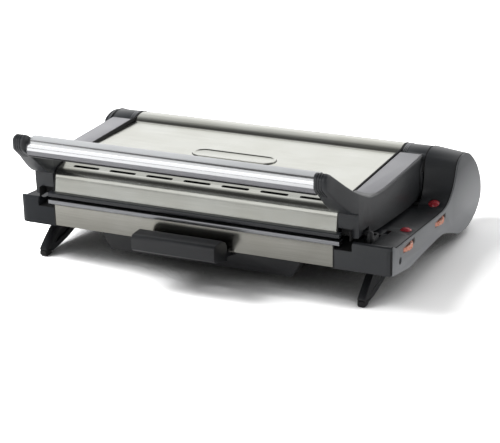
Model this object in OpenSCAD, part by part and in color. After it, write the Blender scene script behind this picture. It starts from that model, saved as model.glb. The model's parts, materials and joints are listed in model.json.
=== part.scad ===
// Electric indoor grill with a hinged lid.
// Working frame of the modules: X = 0 is the middle of the lid, Y = 0 is the steel front panel of the base,
// Z = 0 is the table. Each part is then moved so that the origin lies on the table under the middle.

/* [Widths] */
// Half width of the steel front panel of the base
panel_half = 165; // [162:1:166]
// Half width of the lid's steel cover
steel_half = 167; // [166:0.5:167]
// Distance from the lid's middle to the outside of the left side cover
left_end = 211; // [210:1:214]
// Distance from the lid's middle to the outside of the right side cover
right_end = 230; // [228:1:236]

/* [Heights] */
// Bottom edge of the steel front panel above the table
panel_bottom = 46; // [46:0.5:47]
// Top edge of the steel front panel
panel_top = 70.3; // [70:0.1:70.5]
// Bottom edge of the lid's steel front face
lid_bottom = 83.5; // [83.5:0.5:84]
// Bend between the lid's front face and the vent band
lid_bend = 105.6; // [104.8:0.2:106]
// Flat top of the lid
lid_top = 112; // [111.8:0.1:112.4]

/* [Hinge] */
// Hinge axis behind the front panel
hinge_y = 212; // [212:0.5:213]
// Hinge axis above the table
hinge_z = 84; // [84:0.5:85]
// Radius of the lid's rear barrel and of the arm collars
barrel_r = 31; // [30.5:0.1:31]
// Radius of the two hinge pins
pin_r = 7; // [6:0.5:7]

/* [Lid] */
// Number of vent slots in the lid's front band
vent_slots = 7; // [3:2:7]
// Distance between two vent slots
slot_pitch = 45; // [40:1:46]
// Length of one vent slot
slot_length = 32; // [20:1:34]
// Thickness of the steel sheets
sheet = 1; // [0.8:0.1:1.2]

/* [Cooking plates] */
// Number of ribs on each cooking plate
plate_ribs = 25; // [15:2:27]
// Half width of the cooking plates
plate_half = 160; // [155:1:160]
// Diameter of the heating elements' tube
element_d = 6.5; // [6:0.5:6.5]

/* [Controls] */
// Radius of the thermostat thumbwheels
wheel_r = 22; // [20:0.5:22]
// Number of grip notches round a thumbwheel
wheel_notches = 30; // [20:1:36]
// How far a thumbwheel stands out of the right side cover
wheel_out = 4; // [3:0.5:4]

/* [Hidden] */
$fn = 64;
origin_x = (right_end + wheel_out - left_end) / 2;
origin_y = 123.9;
steel_grey = "lightgray";
dark_grey = "dimgray";

// Places and small shapes

module place() translate([-origin_x, -origin_y, 0]) children();

module box(x0, x1, y0, y1, z0, z1) translate([x0, y0, z0]) cube([x1 - x0, y1 - y0, z1 - z0]);

// A side view (Y to the right, Z up) pushed along X from x0 to x1
module side(x0, x1) translate([x0, 0, 0]) rotate([90, 0, 90]) linear_extrude(height = x1 - x0) children();

// A front view (X to the right, Z up) pushed along Y from y0 to y1
module front(y0, y1) translate([0, y1, 0]) rotate([90, 0, 0]) linear_extrude(height = y1 - y0) children();

// A cylinder along X
module rod(x0, x1, y, z, r) translate([x0, y, z]) rotate([0, 90, 0]) cylinder(r = r, h = x1 - x0);

// A cylinder along Z
module post(x, y, z0, z1, r) translate([x, y, z0]) cylinder(r = r, h = z1 - z0);

// Curves and skins

function arc(cy, cz, r, from, to, steps) =
    [for (i = [0:steps]) let (a = from + (to - from) * i / steps) [cy + r * cos(a), cz + r * sin(a)]];

// Smooth curve through the points p, with steps points to each span
function curve(p, steps) = concat(
    [for (i = [0:len(p) - 2], k = [0:steps - 1])
        let (a = p[max(i - 1, 0)], b = p[i], c = p[i + 1], d = p[min(i + 2, len(p) - 1)], t = k / steps)
        b + (c - a) * t / 2 + (2 * a - 5 * b + 4 * c - d) * t * t / 2 + (3 * b - a - 3 * c + d) * t * t * t / 2],
    [p[len(p) - 1]]);

function reversed(p) = [for (i = [len(p) - 1:-1:0]) p[i]];

// A closed row of points, begun at its point k
function begun_at(k, p) = [for (i = [0:len(p) - 1]) p[(i + k) % len(p)]];

function left_normal(v) = [-v.y, v.x] / norm(v);

// Points moved to the left of their direction of travel, round a closed outline
function inset(p, d) = [for (i = [0:len(p) - 1])
    p[i] + d * left_normal(p[(i + 1) % len(p)] - p[(i + len(p) - 1) % len(p)])];

// The same for an open line
function beside(p, d) = [for (i = [0:len(p) - 1])
    p[i] + d * left_normal(p[min(i + 1, len(p) - 1)] - p[max(i - 1, 0)])];

// A closed skin over a row of rings with equal numbers of points
module skin(rings) {
    n = len(rings[0]);
    last = (len(rings) - 1) * n;
    polyhedron(
        points = [for (ring = rings) each ring],
        faces = concat(
            [[for (i = [0:n - 1]) i]],
            [for (j = [0:len(rings) - 2], i = [0:n - 1])
                let (a = j * n + i, b = j * n + (i + 1) % n) each [[a, a + n, b], [b, a + n, b + n]]],
            [[for (i = [n - 1:-1:0]) last + i]]),
        convexity = 6);
}

// Side outline shared by the housings and the side covers, counterclockwise seen from the right

deck_line = [[0, 71], [1, 74.6], [4, 76], [9, 74.2], [16, 71.2], [60, 67.7], [110, 63.7], [146, 60.8]];
sweep_y = 164;
sweep_z = 106;
sweep_r = 46;
lobe_line = [[209.6, 96], [213, 100.3], [220, 103.2], [229, 104.3], [243, 102.6], [260, 95], [281, 79], [296, 60], [302, 44],
    [300, 30], [288, 19], [268, 11.5], [246, 9], [224, 12], [200, 21], [174, 30]];
belly_line = [[164, 32.6], [146, 34.4], [110, 35.2], [54, 35], [28, 39.7], [0, 45]];
front_line = reversed(curve(deck_line, 2));
sweep_line = arc(sweep_y, sweep_z, sweep_r, -19, -92, 8);

outline = concat(reversed(belly_line), reversed(curve(lobe_line, 3)), sweep_line, front_line);

// The lobe alone, from inside the deck round its bottom, back and top. Toward the lid (u = 1) its top draws
// forward and up until it runs on from the lid's rear barrel.
lobe_foot = 60;
lobe_top = 104.3;
crest_y = 229;
crest_forward = 17;
crest_up = 10.7;
sweep_forward = 24;

function lobe_shift(p) = let (h = max(0, (p.y - lobe_foot) / (lobe_top - lobe_foot))) p.x < 165 ? [0, 0] : [
    p.x < 209.8 ? -sweep_forward * sqrt(h) : -crest_forward * h - 7 * max(0, (crest_y - p.x) / (crest_y - 210)),
    crest_up * h * h];

// The ring begins low at the back, from where its whole outline is in sight.
function lobe_ring(x, u) = [
    for (p = begun_at(21, concat([[157, 54], [157, 42], [162, 32]], reversed(curve(lobe_line, 3)), sweep_line)))
        let (q = p.y > lobe_foot ? p + u * lobe_shift(p) : p) [x, q.x, q.y]];

// The side cover's outline, where the lobe has its shape for a given u
function cover_line(u) = [for (p = outline) p.y > lobe_foot && p.x > 165 ? p + u * lobe_shift(p) : p];

right_corner = 8;
left_corner = 12;

// What rounds the upright front corner of a housing that ends at x = end
module front_corner(end, r) difference() {
    box(end - r, end + 1, -1, r, 30, 90);
    post(end - r, r, 29, 91, r);
}

// Base

tub_half = 164.5;
tub_back = 177.5;
tub_wall = 2.5;
tub_top = 66;
spout_y = 34;
rail_x = 127;
reflector_bottom = 54;

module base_tub() color(dark_grey) difference() {
    union() {
        difference() {
            box(-tub_half, tub_half, 3, tub_back, panel_bottom, tub_top);
            box(-tub_half + tub_wall, tub_half - tub_wall, 3 + tub_wall, tub_back - tub_wall, panel_bottom + tub_wall, tub_top + 1);
        }
        for (x = [-145, 145], y = [22, 164]) post(x, y, panel_bottom + 1, reflector_bottom, 5);
    }
    box(-14, 14, spout_y - 11, spout_y + 11, panel_bottom - 1, panel_bottom + tub_wall + 1);
    for (i = [-5:5]) box(i * 24 - 1.5, i * 24 + 1.5, 90, 140, panel_bottom - 1, panel_bottom + tub_wall + 1);
}

// Two angles under the tub, which the rims of the tray hang in
rail_low = 36.5;
rail_front = 26;
rail_back = 160;
module tray_rails() color(dark_grey) for (side_sign = [-1, 1]) scale([side_sign, 1, 1]) front(rail_front, rail_back)
    polygon([[rail_x, rail_low], [rail_x + 7, rail_low], [rail_x + 7, panel_bottom], [rail_x + 4, panel_bottom],
        [rail_x + 4, rail_low + 3], [rail_x, rail_low + 3]]);

module front_panel() color(steel_grey) side(-panel_half, panel_half)
    polygon([[0, panel_bottom], [0, panel_top], [8, panel_top], [8, panel_top - sheet], [sheet, panel_top - sheet],
        [sheet, panel_bottom + sheet], [2.8, panel_bottom + sheet], [2.8, panel_bottom]]);

trim_half = 172;
base_trim_top = 75.5;

module base_trim() color("silver") side(-trim_half, trim_half)
    polygon(concat(
        [[8, panel_top], [8, base_trim_top]],
        arc(0.5, base_trim_top - 1.5, 1.5, 90, 180, 4),
        arc(0.5, panel_top + 1.5, 1.5, 180, 270, 4)));

// Cooking plates and what heats them

plates_mirror = 153.5;
upper_reflector_top = 100;
plate_front = 12;
plate_back = 174;
plate_floor = 66;
rib_top = 76;
rim_w = 5;

module plate_ribs_row(z0, z1) {
    pitch = 2 * (plate_half - rim_w - 3) / plate_ribs;
    front(plate_front + rim_w + 3, plate_back - rim_w - 3)
        for (i = [0:plate_ribs - 1]) translate([(i - (plate_ribs - 1) / 2) * pitch, 0])
            polygon([[-2.6, z0], [2.6, z0], [1.3, z1], [-1.3, z1]]);
}

module plate_dish() difference() {
    box(-plate_half, plate_half, plate_front, plate_back, plate_floor, rib_top);
    box(-plate_half + rim_w, plate_half - rim_w, plate_front + rim_w, plate_back - rim_w, plate_floor + 4, rib_top + 1);
}

module lower_plate() color("#33353a") difference() {
    union() {
        plate_dish();
        plate_ribs_row(plate_floor + 3.5, rib_top - 0.5);
        post(0, spout_y, panel_bottom + 0.5, plate_floor + 1, 9);
    }
    post(0, spout_y, panel_bottom, plate_floor + 5, 6);
}

module element_run(y, x0, x1, z) translate([x0, y, z]) rotate([0, 90, 0]) cylinder(d = element_d, h = x1 - x0);

module element_bend(x, y, turn, z) translate([x, y, z]) rotate([0, 0, turn])
    rotate_extrude(angle = 180) translate([run_gap / 2, 0]) circle(d = element_d);

run_first = 54;
run_gap = 30;
run_end = 128;
run_tail = 155;

// Four straight runs joined by three bends, with both ends at the right
module element(z) {
    element_run(run_first, -run_end, run_tail, z);
    element_run(run_first + run_gap, -run_end, run_end, z);
    element_run(run_first + 2 * run_gap, -run_end, run_end, z);
    element_run(run_first + 3 * run_gap, -run_end, run_tail, z);
    element_bend(-run_end, run_first + run_gap / 2, 90, z);
    element_bend(run_end, run_first + 3 * run_gap / 2, -90, z);
    element_bend(-run_end, run_first + 5 * run_gap / 2, 90, z);
}

lower_element_z = plate_floor - element_d / 2;
module lower_element() color("slategray") element(lower_element_z);

module lower_reflector() color("gainsboro") difference() {
    box(-158, 158, 8, 173, reflector_bottom, 60);
    box(-158 + sheet, 158 - sheet, 8 + sheet, 173 - sheet, reflector_bottom + sheet, 61);
    post(0, spout_y, 53, 56, 10);
}

module element_screws(z0, z1) for (x = [-100, 100], y = [run_first + run_gap / 2, run_first + 5 * run_gap / 2])
    post(x, y, z0, z1, 2.5);

module element_screws_lower() color("silver") element_screws(reflector_bottom + sheet, plate_floor);

// Right housing, with the deck and the lobe, and its side cover

inner_face = 168.3;
lobe_face = 198.8;
wall = 3.5;
cover_gap = 0.3;
right_shell_end = right_end - 1.9;
left_shell_end = left_end - 1.9;
left_u = 0.55;
step_x = 185.5;
step_z = 66;
block_end = 170;
recess_x = 186;
recess_w = 10.5;
foot_pivot_y = 100;
foot_pivot_z = 41;

// The solid body of a housing. The lobe starts outside the arm's collar, the deck runs on inward under the arm.
module housing_solid(shell_end, end, u, corner) {
    land = shell_end - 1;
    difference() {
        union() {
            side(inner_face - 3, land) polygon(concat(
                reversed([for (p = belly_line) if (p.x < 160) p]),
                [[168, 36], [168, 59.4]],
                front_line));
            side(land - 0.1, shell_end) polygon(inset(cover_line(u), 1));
        }
        box(inner_face - 4, step_x, -1, 180, step_z, 90);
        front_corner(end, corner);
    }
    skin([lobe_ring(lobe_face, 1), lobe_ring(land + 0.05, u)]);
}

// Inside of a housing, a wall's thickness within its outline
cavity_line = concat(
    [[4, 49.5], [28, 44.3], [54, 39.3], [110, 39.5], [148, 38.4], [176, 33.5], [202, 24.5], [226, 16], [246, 13.2],
        [267, 15.8], [285, 22.6], [296, 32], [298, 43], [292, 58], [278, 76], [258, 91.2], [241, 98.8], [228, 100.2], [215, 96]],
    arc(sweep_y, sweep_z, sweep_r + 4, -15, -90, 6),
    [[110, 59.6], [60, 63.6], [16, 67], [4, 68]]);

// Hollows of a housing: it is open to the outside, where the side cover closes it
module housing_hollows(shell_end, end) {
    side(lobe_face + wall, end) polygon(cavity_line);
    side(inner_face, lobe_face + wall + 1) polygon([[wall, 50], [56, 39.7], [112, 39.8], [160, 38.6], [160, 52], [110, 57.6], [wall, 62]]);
}

module foot_slot() {
    side(recess_x, recess_x + recess_w) polygon([[wall - 0.7, 30], [wall - 0.7, 51], [20, 58.2], [112, 58.2], [112, 30]]);
    rod(recess_x - 5, recess_x + recess_w + 5, foot_pivot_y, foot_pivot_z, 2.5);
}

// Walls that stand beside the foot inside the housing
module foot_cheeks() side(recess_x - 3, recess_x + recess_w + 2)
    polygon([[2, 47.5], [28, 41], [54, 37], [114, 37.2], [114, 57], [18, 57.6], [2, 55]]);

module housing(shell_end, end, u, corner) difference() {
    union() {
        difference() {
            housing_solid(shell_end, end, u, corner);
            housing_hollows(shell_end, end);
        }
        foot_cheeks();
        rod(lobe_face + 1, lobe_face + 7, hinge_y, hinge_z, 13);
    }
    foot_slot();
    rod(lobe_face - 1, lobe_face + 8, hinge_y, hinge_z, pin_r);
}

lamp_lower_x = 216.3;
lamp_lower_y = 78.5;
lamp_lower_z = 66.2;
lamp_upper_x = 214.3;
lamp_upper_y = 176;
lamp_upper_z = 62.3;
lamp_upper_tilt = 20;

module at_lamp_lower() translate([lamp_lower_x, lamp_lower_y, lamp_lower_z]) rotate([-4.6, 0, 0]) children();
module at_lamp_upper() translate([lamp_upper_x, lamp_upper_y, lamp_upper_z]) rotate([lamp_upper_tilt, 0, 0]) children();

// Hole for the body of a lamp, with a shallow seat for the rim of its lens
module lamp_seat() {
    translate([0, 0, -12]) cylinder(r = 4.5, h = 24);
    translate([0, 0, 0.1]) cylinder(r = 6.5, h = 8);
}

module lamp_lens() {
    translate([0, 0, -8]) cylinder(r = 4.5, h = 8.5);
    difference() {
        dome_r = 8;
        translate([0, 0, 3.2 - dome_r]) sphere(r = dome_r, $fn = 48);
        translate([-10, -10, -20]) cube([20, 20, 20.2]);
    }
}

wheel_lower_y = 47;
wheel_lower_z = 61.6;
wheel_upper_y = 150;
wheel_upper_z = 53;
wheel_h = 4.4;
wheel_x = right_end + wheel_out - wheel_r;
shaft_r = 3;

catch_x = 197.5;
catch_y = 28;
catch_z = 72;
catch_travel = 9;

// Vent through the deck behind the catch
vent_x = 199;
vent_y = 56;
vent_w = 5;
vent_l = 13;

module housing_right() color(dark_grey) difference() {
    housing(right_shell_end, right_end, 0, right_corner);
    box(vent_x, vent_x + vent_w, vent_y, vent_y + vent_l, 55, 80);
    at_lamp_lower() lamp_seat();
    at_lamp_upper() lamp_seat();
    box(catch_x - 2, catch_x + 2, catch_y - 13, catch_y + 13 + catch_travel, 61, 80);
    for (w = [[wheel_lower_y, wheel_lower_z], [wheel_upper_y, wheel_upper_z]])
        post(wheel_x, w.x, w.y - wheel_h / 2 - 0.8, w.y + wheel_h / 2 + 0.8, wheel_r + 1);
}

// A side cover, with its outer edge drawn in by a small step
module cover_shell(start, end, u, corner) difference() {
    union() {
        side(start, end - 0.6) polygon(cover_line(u));
        side(end - 0.7, end) polygon(inset(cover_line(u), 0.6));
    }
    front_corner(end, corner);
}

module wheel_slot(y, z) box(right_end - 8, right_end + 4, y - 15, y + 20, z - wheel_h / 2 - 0.7, z + wheel_h / 2 + 0.7);

module side_cover_right() color("gray") difference() {
    cover_shell(right_shell_end + cover_gap, right_end, 0, right_corner);
    rod(right_end - 9, right_end + 2, 23.4, 54.2, 4);
    wheel_slot(wheel_lower_y, wheel_lower_z);
    wheel_slot(wheel_upper_y, wheel_upper_z);
}

module housing_left() color(dark_grey) mirror([1, 0, 0]) housing(left_shell_end, left_end, left_u, left_corner);

module side_cover_left() color("gray") mirror([1, 0, 0]) cover_shell(left_shell_end + cover_gap, left_end, left_u, left_corner);

// Rear cover under the barrel, between the lobes

rear_line = concat(
    [[178.2, 44], [178.2, 60]],
    arc(hinge_y, hinge_z, barrel_r + 3, 222, 296, 12),
    [[246, 48], [262, 44], [268, 34], [264, 20], [250, 14], [226, 16], [200, 28]]);

module rear_cover() color(dark_grey) difference() {
    side(-lobe_face, lobe_face) polygon(rear_line);
    side(-lobe_face + 4, lobe_face - 4) polygon([[182, 30], [182, 48], [212, 46], [246, 43], [258, 40], [262, 34],
        [258, 20], [250, 10], [226, 10], [200, 20]]);
}

// Hollow pins from the arm collars into the housings, open for the lid's wiring
module hinge_pin() difference() {
    rod(inner_face + 3, lobe_face + 6.5, hinge_y, hinge_z, pin_r);
    rod(inner_face + 2, lobe_face + 8, hinge_y, hinge_z, pin_r - 3);
}
module hinge_pin_right() color("silver") hinge_pin();
module hinge_pin_left() color("silver") mirror([1, 0, 0]) hinge_pin();

// Thermostats under the thumbwheels

module thermostat(y, z) {
    post(wheel_x, y, z - 12, z + wheel_h / 2 + 0.6, shaft_r);
    post(wheel_x, y, z - wheel_h / 2 - 5, z - wheel_h / 2 - 0.4, 6);
    box(wheel_x - 9, wheel_x + 9, y - 13, y + 13, z - 13.5, z - wheel_h / 2 - 4);
}
module thermostat_lower() color("ivory") thermostat(wheel_lower_y, wheel_lower_z);
module thermostat_upper() color("ivory") thermostat(wheel_upper_y, wheel_upper_z);

module terminal_block() color("ivory") difference() {
    box(204, 220, 84, 116, 42, 54);
    for (i = [0:2]) post(212, 90 + i * 10, 46, 55, 2.2);
}

module lamp_lower() color("red") at_lamp_lower() lamp_lens();
module lamp_upper() color("red") at_lamp_upper() lamp_lens();

module thumbwheel(y, z) difference() {
    translate([wheel_x, y, z - wheel_h / 2]) linear_extrude(height = wheel_h)
        polygon([for (i = [0:2 * wheel_notches - 1]) let (a = 180 * i / wheel_notches, r = wheel_r - (i % 2) * 0.8)
            [r * cos(a), r * sin(a)]]);
    post(wheel_x, y, z - wheel_h, z + wheel_h, shaft_r + 0.05);
    difference() {
        post(wheel_x, y, z + wheel_h / 2 - 1.5, z + wheel_h, wheel_r - 3);
        post(wheel_x, y, z - wheel_h, z + 2 * wheel_h, shaft_r + 3);
    }
}
module thumbwheel_lower() color("orange") thumbwheel(wheel_lower_y, wheel_lower_z);
module thumbwheel_upper() color("orange") thumbwheel(wheel_upper_y, wheel_upper_z);

// Lid catch: a slide with a round knob, whose nose goes over a ledge in the right arm
nose_z = 80.6;
slide_half = 4.6;
module lid_catch() color("#2a2b2e") {
    for (y = [catch_y - 7.4, catch_y + 5.4]) post(catch_x, y, catch_z, catch_z + 4, slide_half);
    box(catch_x - slide_half, catch_x + slide_half, catch_y - 7.4, catch_y + 5.4, catch_z, catch_z + 4);
    box(catch_x - 1.5, catch_x + 1.5, catch_y - 12, catch_y + 10, catch_z - 7.4, catch_z + 1);
    post(catch_x, catch_y - 8, catch_z + 3, nose_z + 1.6, 4);
    post(catch_x, catch_y - 8, nose_z + 1.5, nose_z + 2.6, 3);
    box(188.2, catch_x, catch_y - 11, catch_y - 7, nose_z - 0.4, nose_z + 1.6);
    box(catch_x - 3.6, catch_x + 3.6, catch_y + 3, catch_y + 6, catch_z + 3, catch_z + 5.4);
}

module rear_pads() color("black") for (s = [-1, 1]) post(s > 0 ? 209 : -204.5, 268, 0, 12, s > 0 ? 7 : 4.5);

// Drip tray with its grip

tray_top_half = 123;
tray_low_half = 108.5;
tray_top = 42;
tray_low = 18;
tray_front = 22;
tray_back = 150;
grip_half = 48.5;

grip_line = concat(
    [[-8, 38], [-37.5, 47], [-40, 49.5]],
    arc(-34.5, 60, 5.5, 180, 90, 6),
    [[-20, 65.5], [-11, 60], [-8, 55]]);
grip_hollow = concat(
    [[-11, 30], [-34, 40], [-37, 50.5]],
    arc(-34, 59.5, 3, 180, 90, 4),
    [[-21, 62.5], [-13, 57.5], [-11, 54]]);

module drip_tray() color("#26282c") {
    difference() {
        union() {
            front(tray_front, tray_back) polygon([[-tray_low_half, tray_low], [tray_low_half, tray_low],
                [tray_top_half, tray_top], [-tray_top_half, tray_top]]);
            box(-tray_top_half - 6.5, tray_top_half + 6.5, tray_front, tray_back, tray_top - 2, tray_top);
        }
        front(tray_front + 2.5, tray_back - 2.5) polygon([[-tray_low_half + 2, tray_low + 2.5],
            [tray_low_half - 2, tray_low + 2.5], [tray_top_half - 1.8, tray_top + 1], [-tray_top_half + 1.8, tray_top + 1]]);
    }
    difference() {
        side(-grip_half, grip_half) polygon(grip_line);
        side(-grip_half + 3, grip_half - 3) polygon(grip_hollow);
    }
    for (x = [-30, 30]) side(x - 14, x + 14) polygon([[-9, 39], [-9, 44.5], [tray_front + 1, 44.5], [tray_front + 1, 34], [4, 38]]);
}

// Feet that fold up into the housings

foot_line = concat(
    arc(foot_pivot_y, foot_pivot_z, 9, -75, 105, 10),
    curve([[78, 47], [58, 39.5], [34, 25.5], [16, 12.5]], 3),
    [[12, 9], [14, 3.5]],
    [[23, 2.6]],
    curve([[40, 3.6], [64, 8], [86, 15], [97, 26]], 3));

module foot() difference() {
    side(recess_x + 1, recess_x + recess_w - 1) polygon(foot_line);
    rod(recess_x - 1, recess_x + recess_w + 1, foot_pivot_y, foot_pivot_z, 2.55);
    for (s = [0, 1]) side(s > 0 ? recess_x + 8.5 : recess_x, s > 0 ? recess_x + recess_w : recess_x + 3.5)
        polygon([[34, 10], [60, 14], [80, 22], [84, 32], [76, 40], [60, 33]]);
    side(recess_x, recess_x + recess_w) polygon([[10, 1], [10, 7], [18, 7], [26, 5], [26, 1]]);
}
module foot_right() color("#202124") foot();
module foot_left() color("#202124") mirror([1, 0, 0]) foot();

module foot_tip() side(recess_x + 1.5, recess_x + recess_w - 1.5)
    polygon([[13, 0.8], [11, 3], [11.5, 7], [18, 7], [26, 5], [24, 0.4], [22, 0], [15, 0]]);
module foot_tip_right() color("black") foot_tip();
module foot_tip_left() color("black") mirror([1, 0, 0]) foot_tip();

module foot_pins() color("silver") for (s = [-1, 1])
    rod(s > 0 ? recess_x - 5 : -recess_x - recess_w - 4, s > 0 ? recess_x + recess_w + 4 : -recess_x + 5,
        foot_pivot_y, foot_pivot_z, 2.5);

// Lid

lid_front = 5.5;
band_end = 32;
band_slope = atan2(lid_top - lid_bend, band_end - lid_front);
crease_y = hinge_y - sqrt(barrel_r * barrel_r - pow(lid_top - hinge_z, 2));
crease_angle = atan2(lid_top - hinge_z, crease_y - hinge_y);

// Outside of the steel cover from its front hem over the top and round the barrel
lid_line = concat(
    [[lid_front, lid_bottom], [lid_front, lid_bend - 2.5], [lid_front + 0.8, lid_bend - 0.7], [lid_front + 2.4, lid_bend + 0.3]],
    [[band_end - 3, lid_top - 0.8], [band_end, lid_top - 0.2], [band_end + 3, lid_top]],
    arc(hinge_y, hinge_z, barrel_r, crease_angle, -55, 28));

module lid_cover() color("gainsboro") difference() {
    side(-steel_half, steel_half) polygon(concat(lid_line, reversed(beside(lid_line, -sheet))));
    for (i = [-(vent_slots - 1) / 2:(vent_slots - 1) / 2])
        translate([i * slot_pitch, 22.7, lid_bend + (22.7 - lid_front) * tan(band_slope)]) rotate([band_slope, 0, 0]) {
            translate([-slot_length / 2 + 2, -2, -5]) cube([slot_length - 4, 4, 10]);
            for (s = [-1, 1]) translate([s * (slot_length / 2 - 2), 0, -5]) cylinder(r = 2, h = 10, $fn = 32);
        }
}

liner_line = [[6.6, 83.6], [6.6, 102.6], [8.2, 104.7], [29.3, 109.9], [34, 110.7], [188, 110.7], [188, 80], [9, 80],
    [9, 83.6]];
liner_hollow = [[11, 79], [11, 102.4], [32, 108.2], [185.5, 108.2], [185.5, 79]];

module lid_liner() color("darkgray") {
    difference() {
        side(-166, 166) polygon(liner_line);
        side(-163.5, 163.5) polygon(liner_hollow);
        for (i = [-3:3]) box(i * slot_pitch - 14, i * slot_pitch + 14, 18, 27, 95, 112);
    }
    for (x = [-145, 145], y = [36, 164]) post(x, y, upper_reflector_top, 109, 5);
}

module lid_trim() color(dark_grey) side(-trim_half, trim_half)
    polygon(concat(
        [[6.8, lid_bottom - 5]],
        [[6.8, lid_bottom - 0.1]],
        arc(0.5, lid_bottom - 1.6, 1.5, 90, 180, 4),
        arc(0.5, lid_bottom - 3.5, 1.5, 180, 270, 4)));

// Arms: rounded sections from the handle end back to the hinge collar.
// Each station is [y, bottom, top, inner x, outer x].
arm_nose = [
    [-54.5, 152, 158.5, 167, 177], [-52.5, 148, 162.4, 165.3, 179.4], [-46, 142.5, 164.6, 165.1, 180.4],
    [-38, 135.8, 159.8, 165.1, 181.6], [-26, 124.8, 151, 165.1, 184], [-14, 115, 142, 165.1, 186.8],
    [-4, 108.6, 135.2, 165.1, 189]];
arm_body = [
    [6.5, 78.5, 129.2, 168.3, 190.9], [20, 78.4, 122.6, 168.3, 191.7], [32, 75.8, 117.6, 168.3, 192.3],
    [45, 72.6, 113.6, 168.3, 192.9], [60, 70.4, 111.6, 168.3, 193.4], [77, 69, 111, 168.3, 193.9],
    [115, 65.9, 111, 168.3, 194.6], [150, 63.2, 111, 168.3, 195], [202, 63.2, 110.6, 168.3, 195]];
top_round = 4;
low_round = 2.5;
collar_end = lobe_face - 1.6;
bush_r = 10;

// Rounded rectangle in an upright plane across the arm
function arm_ring(s) = let (
    y = s[0], z0 = s[1], z1 = s[2], x0 = s[3], x1 = s[4],
    top_r = min(top_round, (z1 - z0) * 0.5),
    low_r = min(low_round, (z1 - z0) * 0.3)) [
    for (k = [15:-1:0]) let (
        corner = floor(k / 4),
        a = 90 * corner + 30 * (k % 4),
        rr = corner == 0 ? top_r : corner == 3 ? low_r : 1.2,
        cx = corner == 0 || corner == 3 ? x1 - rr : x0 + rr,
        cz = corner < 2 ? z1 - rr : z0 + rr)
        [cx + rr * cos(a), y, cz + rr * sin(a)]];

insert_line = concat(
    [[inner_face + 1.2, 190], [inner_face + 1.2, 54]],
    curve([[172, 50.5], [179, 48.3], [185, 48.6], [189.5, 54], [192, 66], [193, 90], [193.7, 130], [193.8, 190]], 3));
insert_z = 109.6;

module arm() difference() {
    union() {
        skin([for (s = concat(curve(arm_nose, 2), [[3.5, 105.4, 130.8, 165.1, 190.5], [4.2, 104.9, 130.4, 168.3, 190.6],
            [5.8, 104, 129.6, 168.3, 190.8]], curve(arm_body, 2))) arm_ring(s)]);
        rod(inner_face, collar_end, hinge_y, hinge_z, barrel_r);
    }
    rod(inner_face + 2, collar_end - 2, hinge_y, hinge_z, bush_r);
    rod(collar_end - 3, collar_end + 1, hinge_y, hinge_z, pin_r + 0.6);
    translate([0, 0, insert_z]) linear_extrude(height = 30) polygon(insert_line);
    box(inner_face - 6, 183.6, 0, 16, 60, 88);
    nose_grooves();
}

// Grip grooves round the front of an arm's nose, each cut by a band that follows the nose's side outline
groove_first = 168.9;
groove_pitch = 2.6;
groove_w = 1.1;
groove_depth = 0.7;
groove_line = curve([[-40, 161.3], [-46, 164.6], [-52.5, 162.4], [-54.5, 158.5], [-54.5, 152], [-52.5, 148], [-46, 142.5],
    [-40, 137.4]], 2);
module nose_grooves() for (i = [0:2]) side(groove_first + i * groove_pitch, groove_first + i * groove_pitch + groove_w)
    polygon(concat(beside(groove_line, groove_depth), reversed(beside(groove_line, -2))));

module catch_pocket() {
    box(186.5, 200, catch_y - 13.2, catch_y - 5.8, 70, nose_z + 4);
    box(186.5, 200, catch_y - 13.2, catch_y + 3.4, nose_z - 0.5, nose_z + 4);
}

module arm_right() color(dark_grey) difference() {
    arm();
    catch_pocket();
}
module arm_left() color(dark_grey) mirror([1, 0, 0]) arm();

module arm_insert() translate([0, 0, insert_z]) linear_extrude(height = 111.6 - insert_z) polygon(insert_line);
module arm_insert_right() color("silver") arm_insert();
module arm_insert_left() color("silver") mirror([1, 0, 0]) arm_insert();

// Handle: a bright front shell on a grey core, held between the arm ends

handle_y = -37;
handle_z = 150.5;
handle_half = 165;
handle_ry = 12.5;
handle_rz = 9.5;
handle_tilt = 14;

// Flattened oval of the handle's section, reduced by d
function handle_oval(d) = [for (i = [0:47]) let (
    a = 360 * i / 48,
    c = cos(a),
    s = sin(a),
    u = (handle_ry - d) * sign(c) * pow(abs(c), 0.8),
    v = (handle_rz - d) * sign(s) * pow(abs(s), 0.8))
    [handle_y + u * cos(handle_tilt) - v * sin(handle_tilt), handle_z + u * sin(handle_tilt) + v * cos(handle_tilt)]];

seam_shift = -3.5;
module front_half(d) translate([handle_y + seam_shift - d, handle_z]) rotate(handle_tilt)
    translate([-30, -20]) square([30, 40]);

module handle_bar() color("white") side(-handle_half, handle_half) difference() {
    intersection() {
        polygon(handle_oval(0));
        front_half(0);
    }
    polygon(handle_oval(1.5));
}

module handle_core() color("gray") side(-handle_half, handle_half) union() {
    polygon(handle_oval(1.5));
    difference() {
        polygon(handle_oval(0.3));
        front_half(-1);
    }
}

module upper_plate() color("#33353a") translate([0, 0, plates_mirror]) mirror([0, 0, 1]) {
    plate_dish();
    plate_ribs_row(plate_floor + 3.5, rib_top - 0.5);
}
upper_element_z = plates_mirror - lower_element_z;
module upper_element() color("slategray") element(upper_element_z);

module upper_reflector() color("gainsboro") difference() {
    box(-158, 158, 13, 173, 94, upper_reflector_top);
    box(-158 + sheet, 158 - sheet, 13 + sheet, 173 - sheet, 93, upper_reflector_top - sheet);
}
module element_screws_upper() color("silver") element_screws(plates_mirror - plate_floor, upper_reflector_top - sheet);

module hinge_bush() difference() {
    rod(inner_face + 2, collar_end - 2, hinge_y, hinge_z, bush_r);
    rod(inner_face + 1, collar_end, hinge_y, hinge_z, pin_r + 0.05);
}
module hinge_bush_right() color("ivory") hinge_bush();
module hinge_bush_left() color("ivory") mirror([1, 0, 0]) hinge_bush();

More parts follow.
